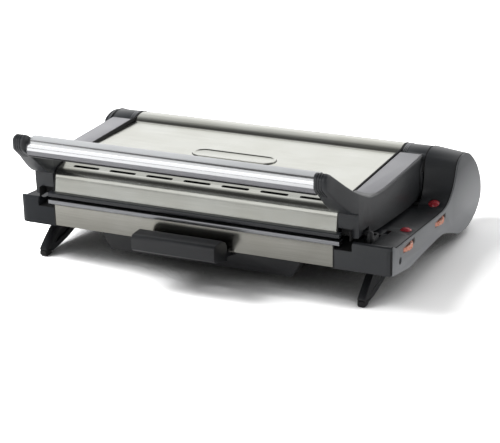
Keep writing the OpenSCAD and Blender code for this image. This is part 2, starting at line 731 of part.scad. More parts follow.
place() base_tub();
place() tray_rails();
place() front_panel();
place() base_trim();
place() lower_plate();
place() lower_element();
place() lower_reflector();
place() housing_right();
place() side_cover_right();
place() housing_left();
place() side_cover_left();
place() rear_cover();
place() hinge_pin_right();
place() hinge_pin_left();
place() thermostat_lower();
place() thermostat_upper();
place() terminal_block();
place() lamp_lower();
place() lamp_upper();
place() element_screws_lower();
place() foot_pins();
place() rear_pads();
place() thumbwheel_lower();
place() thumbwheel_upper();
place() lid_catch();
place() drip_tray();
place() foot_left();
place() foot_right();
place() foot_tip_left();
place() foot_tip_right();
place() lid_cover();
place() lid_liner();
place() lid_trim();
place() arm_right();
place() arm_left();
place() arm_insert_right();
place() arm_insert_left();
place() handle_bar();
place() handle_core();
place() upper_plate();
place() upper_element();
place() upper_reflector();
place() element_screws_upper();
place() hinge_bush_right();
place() hinge_bush_left();
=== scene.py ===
# Electric indoor grill with a hinged lid: the looks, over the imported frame.
import json
import math
import bmesh
import bpy
from mathutils import Matrix, Vector


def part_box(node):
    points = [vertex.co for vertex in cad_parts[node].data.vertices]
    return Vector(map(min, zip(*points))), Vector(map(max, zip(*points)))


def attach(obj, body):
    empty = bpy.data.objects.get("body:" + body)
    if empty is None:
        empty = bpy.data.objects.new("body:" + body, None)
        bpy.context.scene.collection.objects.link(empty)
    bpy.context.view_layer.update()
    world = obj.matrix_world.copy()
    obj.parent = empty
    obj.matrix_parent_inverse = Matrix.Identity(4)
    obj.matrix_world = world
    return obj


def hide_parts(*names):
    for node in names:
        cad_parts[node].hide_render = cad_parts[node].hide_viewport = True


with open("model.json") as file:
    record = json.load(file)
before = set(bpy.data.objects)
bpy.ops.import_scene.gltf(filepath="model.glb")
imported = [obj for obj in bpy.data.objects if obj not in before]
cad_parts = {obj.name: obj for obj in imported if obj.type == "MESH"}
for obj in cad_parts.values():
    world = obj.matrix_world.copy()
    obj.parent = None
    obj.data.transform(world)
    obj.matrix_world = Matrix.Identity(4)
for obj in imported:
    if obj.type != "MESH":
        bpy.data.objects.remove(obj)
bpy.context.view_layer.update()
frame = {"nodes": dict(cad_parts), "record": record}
NODES = frame["nodes"]
BODY_OF = {node: body for body, nodes in frame["record"]["behaviour"]["bodies"].items() for node in nodes}

# Sizes are in millimetres. X is 0 at the lid's middle, Y at the front panel and Z on the table.
# at() turns such a place into the frame's metres.
MM = 0.001
ORIGIN_X = 11.5
ORIGIN_Y = 123.9
SIDES = (("right", 1), ("left", -1))


def at(x, y, z):
    return Vector((x - ORIGIN_X, y - ORIGIN_Y, z)) * MM


# Camera, at the photograph's angle
TURN = math.radians(24.82)
RISE = math.radians(20.85)
ROLL = math.radians(1.12)
DISTANCE = 1.8786
AIM = at(25.6, 100.0, 41.54)
FOCAL_MM = 121.5
SENSOR_MM = 36
CLIP_END = 50


def make_camera():
    back = Vector((math.sin(TURN) * math.cos(RISE), -math.cos(TURN) * math.cos(RISE), math.sin(RISE)))
    right = Vector((math.cos(TURN), math.sin(TURN), 0))
    up = back.cross(right)
    data = bpy.data.cameras.new("camera")
    data.lens = FOCAL_MM
    data.sensor_width = SENSOR_MM
    data.clip_end = CLIP_END
    camera = bpy.data.objects.new("camera", data)
    axes = Matrix((right, up, back)).transposed().to_4x4()
    camera.matrix_world = Matrix.Translation(AIM + back * DISTANCE) @ axes @ Matrix.Rotation(-ROLL, 4, "Z")
    bpy.context.scene.collection.objects.link(camera)
    bpy.context.scene.camera = camera


# Colours and nodes

def linear(code):
    """An sRGB hex colour as the linear one that the shaders take."""
    parts = [int(code[i:i + 2], 16) / 255 for i in (1, 3, 5)]
    return [c / 12.92 if c <= 0.04045 else ((c + 0.055) / 1.055) ** 2.4 for c in parts] + [1.0]


def add(tree, kind, links=None, **settings):
    """A shader node with its settings, and its links given as input name: output socket."""
    node = tree.nodes.new(kind)
    for name, value in settings.items():
        socket = name.replace("_", " ")
        if socket in node.inputs:
            node.inputs[socket].default_value = value
        else:
            setattr(node, name, value)
    for name, source in (links or {}).items():
        tree.links.new(source, node.inputs[name])
    return node


def principled(name, **sockets):
    """A new material, its node tree and its Principled shader with the sockets set."""
    material = bpy.data.materials.new(name)
    material.use_nodes = True
    shader = material.node_tree.nodes["Principled BSDF"]
    for socket, value in sockets.items():
        shader.inputs[socket.replace("_", " ")].default_value = value
    return material, material.node_tree, shader


def pattern(tree, size_mm, stretch=(1, 1, 1), detail=3.0):
    """Noise in object space whose grains are size_mm across, stretched along the axes."""
    place = add(tree, "ShaderNodeTexCoord")
    scale = [1 / (size_mm * MM * s) for s in stretch]
    mapped = add(tree, "ShaderNodeMapping", {"Vector": place.outputs["Object"]}, Scale=scale)
    noise = add(tree, "ShaderNodeTexNoise", {"Vector": mapped.outputs["Vector"]}, Scale=1.0, Detail=detail)
    return noise.outputs["Fac"]


def spread(tree, source, low, high, start=0.3, end=0.7):
    """Values from start to end brought between low and high."""
    node = add(tree, "ShaderNodeMapRange", {"Value": source})
    node.inputs["From Min"].default_value = start
    node.inputs["From Max"].default_value = end
    node.inputs["To Min"].default_value = low
    node.inputs["To Max"].default_value = high
    return node.outputs["Result"]


def shades(tree, source, dark, light, start=0.3, end=0.7):
    """Values from start to end as a colour between two hex colours."""
    ramp = add(tree, "ShaderNodeValToRGB", {"Fac": source})
    ramp.color_ramp.elements[0].position = start
    ramp.color_ramp.elements[1].position = end
    ramp.color_ramp.elements[0].color = linear(dark)
    ramp.color_ramp.elements[1].color = linear(light)
    return ramp.outputs["Color"]


def bump(tree, shader, source, depth_mm):
    """Relief of a pattern, this deep."""
    node = add(tree, "ShaderNodeBump", {"Height": source}, Strength=1.0, Distance=depth_mm * MM)
    tree.links.new(node.outputs["Normal"], shader.inputs["Normal"])


# Materials

def brushed_stainless(name, dark, light):
    """Stainless sheet brushed along its width. The brushing is drawn 1 mm wide so that it shows."""
    material, tree, shader = principled(name, Metallic=1.0)
    streaks = pattern(tree, 1.0, stretch=(60, 1, 1), detail=4)
    clouds = pattern(tree, 60, detail=2)
    blend = add(tree, "ShaderNodeMix", data_type="RGBA", blend_type="MULTIPLY")
    blend.inputs["Factor"].default_value = 1.0
    tree.links.new(shades(tree, streaks, dark, light), blend.inputs["A"])
    tree.links.new(shades(tree, clouds, "#f2f1ee", "#ffffff"), blend.inputs["B"])
    tree.links.new(blend.outputs["Result"], shader.inputs["Base Color"])
    tree.links.new(spread(tree, streaks, 0.17, 0.24), shader.inputs["Roughness"])
    bump(tree, shader, streaks, 0.004)
    return material


def chromed_bar():
    """Drawn aluminium bar with a polished chrome-like face, faintly wiped along its length."""
    material, tree, shader = principled("polished_chrome", Metallic=1.0)
    wipes = pattern(tree, 6, stretch=(30, 1, 1), detail=1)
    tree.links.new(shades(tree, wipes, "#e9eaec", "#eeeff1"), shader.inputs["Base Color"])
    tree.links.new(spread(tree, wipes, 0.16, 0.18), shader.inputs["Roughness"])
    return material


def satin_aluminium():
    """Anodised aluminium strip with a soft, even satin."""
    material, tree, shader = principled("satin_anodised_aluminium", Metallic=1.0)
    grain = pattern(tree, 0.8, stretch=(30, 1, 1))
    tree.links.new(shades(tree, grain, "#8b8c8f", "#9c9da0"), shader.inputs["Base Color"])
    tree.links.new(spread(tree, grain, 0.30, 0.40), shader.inputs["Roughness"])
    bump(tree, shader, grain, 0.003)
    return material


def moulded_plastic(name, dark, light, rough, grain_mm=0.9, specular=0.5):
    """Injection-moulded thermoplastic with a spark-eroded grain, drawn coarser than life to show."""
    material, tree, shader = principled(name, IOR=1.5, Specular_IOR_Level=specular)
    grain = pattern(tree, grain_mm, detail=4)
    clouds = pattern(tree, 45, detail=2)
    tree.links.new(shades(tree, clouds, dark, light), shader.inputs["Base Color"])
    tree.links.new(spread(tree, grain, rough - 0.05, rough + 0.07), shader.inputs["Roughness"])
    bump(tree, shader, grain, 0.02)
    return material


def satin_paint():
    """Grey metallic lacquer over the side covers: fine flakes under a satin coat, with painted shade that
    darkens it to the top and painted floor light that lightens it low down.
    """
    material, tree, shader = principled("satin_grey_lacquer_with_painted_shade", Metallic=0.15, IOR=1.5, Coat_Weight=0.08,
        Coat_Roughness=0.3)
    flakes = pattern(tree, 0.7, detail=2)
    place = add(tree, "ShaderNodeTexCoord")
    height = add(tree, "ShaderNodeSeparateXYZ", {"Vector": place.outputs["Object"]})
    # Painted shade: the colour runs from the light grey low down to the dark grey at the top.
    painted_shade_tone = add(tree, "ShaderNodeMix", data_type="RGBA")
    share = spread(tree, height.outputs["Z"], 0, 1, start=35 * MM, end=90 * MM)
    tree.links.new(share, painted_shade_tone.inputs["Factor"])
    tree.links.new(shades(tree, flakes, "#a8aaad", "#b5b7ba"), painted_shade_tone.inputs["A"])
    tree.links.new(shades(tree, flakes, "#55575a", "#606265"), painted_shade_tone.inputs["B"])
    tree.links.new(painted_shade_tone.outputs["Result"], shader.inputs["Base Color"])
    tree.links.new(spread(tree, flakes, 0.38, 0.48), shader.inputs["Roughness"])
    bump(tree, shader, flakes, 0.006)
    return material


def non_stick():
    """Cast aluminium with a dark non-stick coat, finely speckled."""
    material, tree, shader = principled("non_stick_coating", IOR=1.4, Specular_IOR_Level=0.6)
    speckle = pattern(tree, 0.6, detail=2)
    tree.links.new(shades(tree, speckle, "#1f2022", "#2e3033", 0.45, 0.75), shader.inputs["Base Color"])
    tree.links.new(spread(tree, speckle, 0.30, 0.45), shader.inputs["Roughness"])
    bump(tree, shader, speckle, 0.01)
    return material


def heated_steel():
    """Steel tube of a heating element, dulled and slightly browned by heat."""
    material, tree, shader = principled("heat_dulled_steel", Metallic=1.0)
    tint = pattern(tree, 18)
    tree.links.new(shades(tree, tint, "#6f6a62", "#8f8b84"), shader.inputs["Base Color"])
    tree.links.new(spread(tree, tint, 0.38, 0.55), shader.inputs["Roughness"])
    return material


def red_lens():
    """Clear red acrylic lens over a pilot lamp."""
    material, tree, shader = principled("red_acrylic", IOR=1.49, Roughness=0.12, Transmission_Weight=0.35)
    depth = pattern(tree, 3)
    tree.links.new(shades(tree, depth, "#c8283a", "#e8505c"), shader.inputs["Base Color"])
    return material


def amber_plastic():
    """Semi-clear orange plastic of the thumbwheels."""
    material, tree, shader = principled("orange_polycarbonate", IOR=1.58, Subsurface_Weight=0.2)
    shader.inputs["Subsurface Radius"].default_value = (0.004, 0.0015, 0.0008)
    depth = pattern(tree, 2.5)
    tree.links.new(shades(tree, depth, "#f0805c", "#ffc8b0"), shader.inputs["Base Color"])
    tree.links.new(spread(tree, depth, 0.22, 0.34), shader.inputs["Roughness"])
    return material


def rubber():
    """Black rubber of feet, pads and seals, matt with a fine dusty grain, and the black of painted shade in
    gaps, grooves, holes and recesses.
    """
    material, tree, shader = principled("black_rubber_and_painted_shade", IOR=1.52)
    grain = pattern(tree, 0.8)
    tree.links.new(shades(tree, grain, "#151515", "#1f1f20"), shader.inputs["Base Color"])
    tree.links.new(spread(tree, grain, 0.65, 0.85), shader.inputs["Roughness"])
    bump(tree, shader, grain, 0.03)
    return material


STEEL = brushed_stainless("brushed_stainless_steel", "#bdbeb8", "#cbccc6")
# A darker copy of the brushed steel for the front panel: painted shade, standing for the shadowed floor it
# reflects.
PANEL_STEEL_SHADED = brushed_stainless("brushed_steel_panel_painted_shade", "#94938d", "#a3a29c")
CHROME = chromed_bar()
ALUMINIUM = satin_aluminium()
DARK = moulded_plastic("charcoal_abs", "#2a2c2f", "#2f3134", 0.34)
# A darker, duller copy of the charcoal plastic for the left housing: painted shade on its top.
DARK_MATT_SHADED = moulded_plastic("charcoal_abs_matt_painted_shade", "#26282b", "#2b2d30", 0.5, specular=0.2)
# Also the black of the painted shadow lines under the handle and round the badge.
BLACK_AND_SHADE = moulded_plastic("black_polyamide_and_painted_shade", "#1a1b1d", "#202124", 0.38)
PAINT_WITH_SHADE = satin_paint()
INSERT = moulded_plastic("silver_grey_abs", "#848488", "#8f8f93", 0.42)
CORE = moulded_plastic("grey_nylon", "#a9abad", "#b4b6b8", 0.35)
COATING = non_stick()
ELEMENT = heated_steel()
LENS = red_lens()
AMBER = amber_plastic()
RUBBER_AND_SHADE = rubber()
IVORY = moulded_plastic("ivory_phenolic", "#cfc6ad", "#ddd5bf", 0.5, grain_mm=1.2)


# Making pieces. Faces that meet at less than SMOOTH_ANGLE degrees are shaded as one, edges sharper than
# SHARP_ANGLE are rounded, and triangles that meet at less than FLAT_ANGLE are joined.
SMOOTH_ANGLE = 30
SHARP_ANGLE = 28
FLAT_ANGLE = 0.6
SAME_PLACE = 0.002 * MM
ON_PLANE = 0.001 * MM


def piece(name, bm, material, body, smooth_angle=SMOOTH_ANGLE):
    """A finished piece made from a bmesh, riding on a body."""
    mesh = bpy.data.meshes.new(name)
    bm.normal_update()
    bm.to_mesh(mesh)
    bm.free()
    mesh.materials.append(material)
    mesh.shade_smooth()
    mesh.set_sharp_from_angle(angle=math.radians(smooth_angle))
    made = bpy.data.objects.new(name, mesh)
    bpy.context.scene.collection.objects.link(made)
    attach(made, body)
    return made


def painted(nodes, material):
    """Gives CAD nodes that stay as they are their material."""
    for node in nodes:
        NODES[node].data.materials.clear()
        NODES[node].data.materials.append(material)


def everything(bm):
    return list(bm.verts) + list(bm.edges) + list(bm.faces)


def merged_copy(node):
    """A CAD node's triangles as a bmesh with whole faces."""
    bm = bmesh.new()
    bm.from_mesh(NODES[node].data)
    bmesh.ops.remove_doubles(bm, verts=bm.verts, dist=SAME_PLACE)
    bmesh.ops.dissolve_limit(bm, angle_limit=math.radians(FLAT_ANGLE), verts=bm.verts, edges=bm.edges)
    return bm


def round_edges(bm, edges, radius_mm, segments=2):
    bmesh.ops.bevel(bm, geom=edges, offset=radius_mm * MM, offset_type="OFFSET", affect="EDGES",
        segments=segments, profile=0.5, material=-1, clamp_overlap=True)


def softened(nodes, material, edge_mm=0, segments=2, smooth_angle=SMOOTH_ANGLE, reshape=None):
    """Copies of CAD nodes with edges rounded as a mould or press leaves them, standing for the nodes."""
    for node in nodes:
        bm = merged_copy(node)
        if reshape:
            reshape(bm)
        if edge_mm:
            sharp = math.radians(SHARP_ANGLE)
            edges = [e for e in bm.edges if len(e.link_faces) == 2 and e.calc_face_angle(0) > sharp]
            round_edges(bm, edges, edge_mm, segments)
        made = piece(node + "_moulded", bm, material, BODY_OF[node], smooth_angle)
        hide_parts(node)


def prism(outline, push):
    """An outline of points pushed along a vector."""
    bm = bmesh.new()
    face = bm.faces.new([bm.verts.new(point) for point in outline])
    grown = bmesh.ops.extrude_face_region(bm, geom=[face])
    far_side = [v for v in grown["geom"] if isinstance(v, bmesh.types.BMVert)]
    bmesh.ops.translate(bm, verts=far_side, vec=push)
    bmesh.ops.recalc_face_normals(bm, faces=bm.faces)
    bm.normal_update()
    return bm


def bar(name, section, x0, x1, material, body, edge_mm=0):
    """A bar along X whose section is an outline of (y, z) points."""
    bm = prism([at(x0, y, z) for y, z in section], ((x1 - x0) * MM, 0, 0))
    if edge_mm:
        sharp = math.radians(SMOOTH_ANGLE)
        round_edges(bm, [e for e in bm.edges if e.calc_face_angle(0) > sharp], edge_mm)
    return piece(name, bm, material, body)


def beside(line, distance):
    """A line of (y, z) points moved sideways, to the left of its direction when the distance is positive."""
    moved = []
    for i, point in enumerate(line):
        before = Vector(line[max(i - 1, 0)])
        after = Vector(line[min(i + 1, len(line) - 1)])
        along = (after - before).normalized()
        moved.append((point[0] - along.y * distance, point[1] + along.x * distance))
    return moved


# The lid's side view, as (y, z). Its roof falls slightly towards the barrel, and its front edge is a wide
# bend between the leaning front face and the band with the vents. Turns are degrees forward of straight up.
HINGE = (212, 84)
BARREL_R = 31
ROOF_FRONT = 35
ROOF_Z = 112
ROOF_FALL = 3.0
FOLD_TURN = 36.3
CREASE_TURN = 19.4
FACE_LEAN = 9.5
CORNER = (9.4, 107.0)
BEND_R = 12
BAND_TURN = 12.5
SHEET = 1.0


def on_arc(centre, radius, turn):
    """The point of an arc whose outward direction is turned this far forward of straight up."""
    t = math.radians(turn)
    return centre[0] - radius * math.sin(t), centre[1] + radius * math.cos(t)


def arc(centre, radius, first, last, steps):
    return [on_arc(centre, radius, first + (last - first) * i / steps) for i in range(steps + 1)]


def bend_centre():
    """Where the front bend turns about, so that it meets the leaning face and the vent band smoothly."""
    band = math.radians(BAND_TURN)
    tangent = BEND_R * math.tan(math.radians(90 - FACE_LEAN - BAND_TURN) / 2)
    start = Vector(CORNER) + tangent * Vector((math.cos(band), math.sin(band)))
    return start + BEND_R * Vector((math.sin(band), -math.cos(band)))


FOLD = on_arc(HINGE, BARREL_R, FOLD_TURN)
BEND_CENTRE = bend_centre()


def roof_fall(y):
    return ROOF_FALL * min(max((y - ROOF_FRONT) / (FOLD[0] - ROOF_FRONT), 0), 1)


# Reshaping the sheet steel. Stations are (y, z) points of the solids' own outlines.
STATION_REACH = 0.12
OUTER_BEND = [(5.5, 103.1), (6.3, 104.9), (7.9, 105.9)]
INNER_BEND = [(6.5, 103.1), (7.1, 104.2), (8.2, 104.9)]
OUTER_CREASE = [(198.7, 112), (201.7, 113.3)]
INNER_CREASE = [(198.7, 111), (202.1, 112.3)]
FLAT_ROWS_Y = (37, 192, 18.5, 27.5)
FLAT_ROW_Z = 97
LINER_CORNERS = {(6.6, 102.6): (10.6, 100.6), (8.2, 104.7): (14.6, 105.8), (11, 102.4): (14.4, 101)}
CROWN_Z = 107
CROWN_Y = (40, 196)
CROWN_RISE = 0.9


def side_view(vert):
    """A point's Y and Z in millimetres."""
    return vert.co.y / MM + ORIGIN_Y, vert.co.z / MM


def put(vert, y, z):
    vert.co.y = (y - ORIGIN_Y) * MM
    vert.co.z = z * MM


def near(vert, station):
    y, z = side_view(vert)
    return abs(y - station[0]) < STATION_REACH and abs(z - station[1]) < STATION_REACH


def bend_stretch(bm, stations, centre, radius, first, last, cuts):
    """Rows of points at old stations go to the ends of a new arc, and the strips between them follow it."""
    rows = [[v for v in bm.verts if near(v, station)] for station in stations]
    for i, row in enumerate(rows):
        for vert in row:
            put(vert, *on_arc(centre, radius, first + (last - first) * i / (len(rows) - 1)))
    ends = set(v for row in rows for v in row)
    across = [e for e in bm.edges if e.verts[0] in ends and e.verts[1] in ends
              and abs(e.verts[0].co.x - e.verts[1].co.x) < 0.1 * MM]
    made = bmesh.ops.subdivide_edges(bm, edges=across, cuts=cuts, use_grid_fill=True)
    for vert in made["geom_inner"]:
        if isinstance(vert, bmesh.types.BMVert):
            way = (Vector(side_view(vert)) - Vector(centre)).normalized()
            put(vert, centre[0] + radius * way.x, centre[1] + radius * way.y)


def cut_row(bm, place, normal):
    """A row of points where a plane crosses the sheet. Beside a bend it keeps the flat's shading flat."""
    bmesh.ops.bisect_plane(bm, geom=everything(bm), dist=ON_PLANE, plane_co=at(*place), plane_no=normal)


def lid_reshape(bm):
    """Lets the roof fall to the barrel and widens the front bend."""
    upright = 90 - FACE_LEAN
    bend_stretch(bm, OUTER_BEND, BEND_CENTRE, BEND_R, upright, BAND_TURN, 5)
    bend_stretch(bm, INNER_BEND, BEND_CENTRE, BEND_R - SHEET, upright, BAND_TURN, 5)
    bend_stretch(bm, OUTER_CREASE, HINGE, BARREL_R, FOLD_TURN, CREASE_TURN, 4)
    bend_stretch(bm, INNER_CREASE, HINGE, BARREL_R - SHEET, FOLD_TURN - 2, CREASE_TURN, 4)
    for y in FLAT_ROWS_Y:
        cut_row(bm, (0, y, 0), (0, 1, 0))
    cut_row(bm, (0, 0, FLAT_ROW_Z), (0, 0, 1))


def liner_reshape(bm):
    """Keeps the liner under the falling roof and behind the leaning face."""
    for vert in bm.verts:
        y, z = side_view(vert)
        corner = [new for old, new in LINER_CORNERS.items() if near(vert, old)]
        if corner:
            put(vert, *corner[0])
        elif z > CROWN_Z:
            put(vert, y, z - roof_fall(y))


def crown_rise(bm):
    """Lets the arms stand a little above the lid's roof."""
    for vert in bm.verts:
        y, z = side_view(vert)
        if z > CROWN_Z and CROWN_Y[0] < y < CROWN_Y[1]:
            put(vert, y, z + CROWN_RISE)


# The CAD nodes, with the radius of their rounded edges

def dress_base():
    softened(["housing_right"], DARK, 0.5)
    softened(["housing_left"], DARK_MATT_SHADED, 0.5)
    softened(["side_cover_right", "side_cover_left"], PAINT_WITH_SHADE, 0.3)
    softened(["rear_cover"], DARK, 0.6)
    softened(["base_tub"], DARK, 0.5)
    softened(["tray_rails"], DARK, 0.4)
    softened(["front_panel"], PANEL_STEEL_SHADED, 0.3)
    softened(["base_trim"], ALUMINIUM)
    softened(["drip_tray"], BLACK_AND_SHADE, 0.8)
    softened(["foot_left", "foot_right"], BLACK_AND_SHADE, 0.5)
    softened(["foot_tip_left", "foot_tip_right"], RUBBER_AND_SHADE, 0.4)
    softened(["lid_catch"], BLACK_AND_SHADE, 0.4)
    softened(["thumbwheel_lower", "thumbwheel_upper"], AMBER, 0.2)
    softened(["lamp_lower", "lamp_upper"], LENS)
    painted(["rear_pads"], RUBBER_AND_SHADE)
    painted(["thermostat_lower", "thermostat_upper", "terminal_block"], IVORY)
    painted(["hinge_pin_right", "hinge_pin_left", "foot_pins"], ELEMENT)


def dress_cooking_side():
    softened(["lower_plate", "upper_plate"], COATING, 0.4)
    softened(["lower_element", "upper_element"], ELEMENT)
    painted(["lower_reflector", "upper_reflector"], ALUMINIUM)
    painted(["element_screws_lower", "element_screws_upper"], ELEMENT)


def dress_lid():
    softened(["lid_cover"], STEEL, smooth_angle=24, reshape=lid_reshape)
    softened(["lid_liner"], BLACK_AND_SHADE, 0.4, reshape=liner_reshape)
    softened(["lid_trim"], DARK)
    softened(["arm_right", "arm_left"], DARK, 1.0, segments=3, reshape=crown_rise)
    softened(["arm_insert_right", "arm_insert_left"], INSERT, 0.3, reshape=crown_rise)
    softened(["handle_core"], CORE)
    painted(["hinge_bush_right", "hinge_bush_left"], IVORY)


# The handle's face: a chromed strip above, a grey shell below it and under that a black strip, a painted
# shadow line
CHROME_END_Z = 148.3
HANDLE_HALF = 165
UNDER_SHADOW_STRIP = [(-46.5, 141.4), (-44, 139.4), (-36, 139.6), (-36, 142)]


def handle_half(name, material, keep_above):
    bm = merged_copy("handle_bar")
    cut = bmesh.ops.bisect_plane(bm, geom=everything(bm), dist=ON_PLANE, plane_co=at(0, 0, CHROME_END_Z),
        plane_no=(0, 0, 1), clear_inner=keep_above, clear_outer=not keep_above)
    rim = [e for e in cut["geom_cut"] if isinstance(e, bmesh.types.BMEdge)]
    bmesh.ops.holes_fill(bm, edges=rim, sides=0)
    made = piece(name, bm, material, "lid")
    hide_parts("handle_bar")
    return made


def handle():
    """The handle's pieces. The chromed strip is handed back for its own light."""
    chrome_strip = handle_half("handle_chrome_strip", CHROME, True)
    handle_half("handle_lower_shell", INSERT, False)
    # A painted shadow line along the handle's underside.
    bar("handle_under_shadow", UNDER_SHADOW_STRIP, -HANDLE_HALF, HANDLE_HALF, BLACK_AND_SHADE, "lid", edge_mm=0.4)
    return chrome_strip


# The collars, where the arms go round the barrel
RING_R = 31.3
RING_TURN = 62
RING_FIRST_X = 170.3
RING_STEP = 1.7
RING_WIDTH = 0.8
GAP_X = (197.0, 198.5)
GAP_TURNS = (70, -75)


def ring_section(outer, inner, first, last, steps):
    return arc(HINGE, outer, first, last, steps) + arc(HINGE, inner, last, first, steps)


def collar_rings():
    """Three fine bright rings round each collar, beside the seal."""
    section = ring_section(RING_R, RING_R - 1, RING_TURN, -RING_TURN, 28)
    for name, side in SIDES:
        for i in range(3):
            x = side * (RING_FIRST_X + RING_STEP * i)
            bar(f"collar_ring_{name}_{i + 1}", section, x - RING_WIDTH / 2, x + RING_WIDTH / 2,
                ALUMINIUM, "lid")


def collar_gaps():
    """Black rings in the gaps between the collars and the lobes: painted shade that darkens the gaps."""
    section = ring_section(BARREL_R + 0.15, BARREL_R - 2, *GAP_TURNS, 30)
    for name, side in SIDES:
        bar("collar_gap_painted_shade_" + name, section, side * GAP_X[0], side * GAP_X[1], RUBBER_AND_SHADE, "lid")


# The side covers' joints
PEG_HOLE = (23.4, 54.2)
PEG_HOLE_R = 3.9
PEG_HOLE_X = (228.2, 228.6)
COVER_GROOVE_SHADE_X = {"right": (227.12, 228.38), "left": (-209.38, -208.12)}
CORNER_CENTRE = (222, 8)
CORNER_OUTER_R = 8.12
CORNER_INNER_R = 7.4
CORNER_FOOT_Z = 46.5
CORNER_HEIGHT = 25.5


def peg_hole_shade():
    """A black disc at the bottom of the hole in the right side cover: painted shade in the hole."""
    bar("peg_hole_shade", arc(PEG_HOLE, PEG_HOLE_R, 0, 345, 23), *PEG_HOLE_X, RUBBER_AND_SHADE, "base")


def cover_groove_shades():
    """Black strips in the grooves between housings and covers, painted shade that darkens the grooves: each
    cover's own outline, squeezed flat.
    """
    for name, (x0, x1) in COVER_GROOVE_SHADE_X.items():
        cover = "side_cover_" + name
        bm = merged_copy(cover)
        low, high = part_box(cover)
        for vert in bm.verts:
            share = (vert.co.x - low[0]) / (high[0] - low[0])
            vert.co.x = (x0 + (x1 - x0) * share - ORIGIN_X) * MM
        piece("cover_groove_shade_" + name, bm, RUBBER_AND_SHADE, "base")


def corner_line(radius, turns):
    """Points round the right housing's upright front corner."""
    x, y = CORNER_CENTRE
    return [at(x + radius * math.sin(math.radians(t)), y - radius * math.cos(math.radians(t)), CORNER_FOOT_Z)
            for t in turns]


def corner_groove_shade():
    """The black groove strip where it turns the rounded front corner of the right housing: painted shade on
    that corner.
    """
    outline = corner_line(CORNER_OUTER_R, range(36, 55, 3)) + corner_line(CORNER_INNER_R, range(54, 35, -3))
    piece("corner_groove_shade_right", prism(outline, (0, 0, CORNER_HEIGHT * MM)), RUBBER_AND_SHADE, "base")


# Thin black strips on both sides, all painted shade, as name, X, Y and Z ranges and body: in the steps
# beside the lid's front corners, in those corners' recesses and on their cheeks, and in the seams at the
# front panel's ends
SHADE_STRIPS = (
    ("step_shade", (165.4, 185.3), (0.6, 60), (65.5, 66.4), "base"),
    ("corner_recess_shade", (168.5, 183.5), (15.3, 15.9), (77, 87.9), "lid"),
    ("corner_cheek_shade", (183.1, 183.55), (0.5, 15.9), (77, 87.9), "lid"),
    ("panel_seam_shade", (164.6, 165.9), (-0.25, 2), (45.8, 70.5), "base"),
)


def shade_strips():
    for name, side in SIDES:
        for kind, (x0, x1), (y0, y1), (z0, z1), body in SHADE_STRIPS:
            section = [(y0, z0), (y0, z1), (y1, z1), (y1, z0)]
            bar(kind + "_" + name, section, side * x0, side * x1, RUBBER_AND_SHADE, body)


# Black seals between the steel and the arms, which follow the lid's side view
SEAL_X = (166.4, 168.2)
SEAL_PROUD = 0.45
SEAL_DEPTH = 3
SEAL_TOP = ROOF_Z + 0.5


def lid_seals():
    line = [(5.5, 84)] + arc(BEND_CENTRE, BEND_R, 90 - FACE_LEAN, BAND_TURN, 6)
    line += [(29, 111.2), (32, SEAL_TOP - 0.3), (35, SEAL_TOP)] + arc(HINGE, BARREL_R, 22, -60, 16)
    section = beside(line, SEAL_PROUD) + beside(line, -SEAL_DEPTH)[::-1]
    for name, side in SIDES:
        bar("lid_seal_" + name, section, side * SEAL_X[0], side * SEAL_X[1], RUBBER_AND_SHADE, "lid")


# A raised plate with round ends on the roof. Its sunk field is plain.
BADGE_PLACE = (1.9, 112.5)
BADGE_LENGTH = 100
BADGE_WIDTH = 25
BADGE_HEIGHT = 1.4
BADGE_ROOT = 0.3
BADGE_RIM = 2.0
BADGE_SLOPE = 0.8
BADGE_SINK = 1.0
BADGE_EDGE = 0.35
SHADOW_GAP = 0.8
END_STEPS = 16


def stadium(length, width, z, height):
    """A plate with round ends on the roof."""
    radius = width / 2
    reach = length / 2 - radius
    x, y = BADGE_PLACE
    outline = []
    for end, turn in ((1, -90), (-1, 90)):
        for step in range(END_STEPS + 1):
            t = math.radians(turn + 180 * step / END_STEPS)
            outline.append(at(x + end * reach + radius * math.cos(t), y + radius * math.sin(t), z))
    return prism(outline, (0, 0, height * MM))


def badge():
    root_z = ROOF_Z - roof_fall(BADGE_PLACE[1]) - BADGE_ROOT
    bm = stadium(BADGE_LENGTH, BADGE_WIDTH, root_z, BADGE_HEIGHT + BADGE_ROOT)
    top = [f for f in bm.faces if f.normal.z > 0.9]
    bmesh.ops.inset_region(bm, faces=top, thickness=BADGE_RIM * MM, depth=0)
    bmesh.ops.inset_region(bm, faces=top, thickness=BADGE_SLOPE * MM, depth=-BADGE_SINK * MM)
    bmesh.ops.recalc_face_normals(bm, faces=bm.faces)
    round_edges(bm, [e for e in bm.edges if e.calc_face_angle(0) > math.radians(40)], BADGE_EDGE)
    piece("lid_badge_blank", bm, STEEL, "lid")
    gap = stadium(BADGE_LENGTH + 2 * SHADOW_GAP, BADGE_WIDTH + 2 * SHADOW_GAP, root_z, 0.5)
    piece("lid_badge_shadow_gap", gap, BLACK_AND_SHADE, "lid")


# Floor. The camera sees it brighter than the object does, with a painted contact shadow where something is
# close above it.
# SKY_COVERED and SKY_OPEN are the shares of open sky at which the floor is darkest and brightest.
FLOOR_SIZE = 6
FLOOR_SEEN = 1.9
FLOOR_COVERED = 0.02
FLOOR_REAL = 0.74
CONTACT_REACH = 0.10
SKY_COVERED = 0.06
SKY_OPEN = 0.48


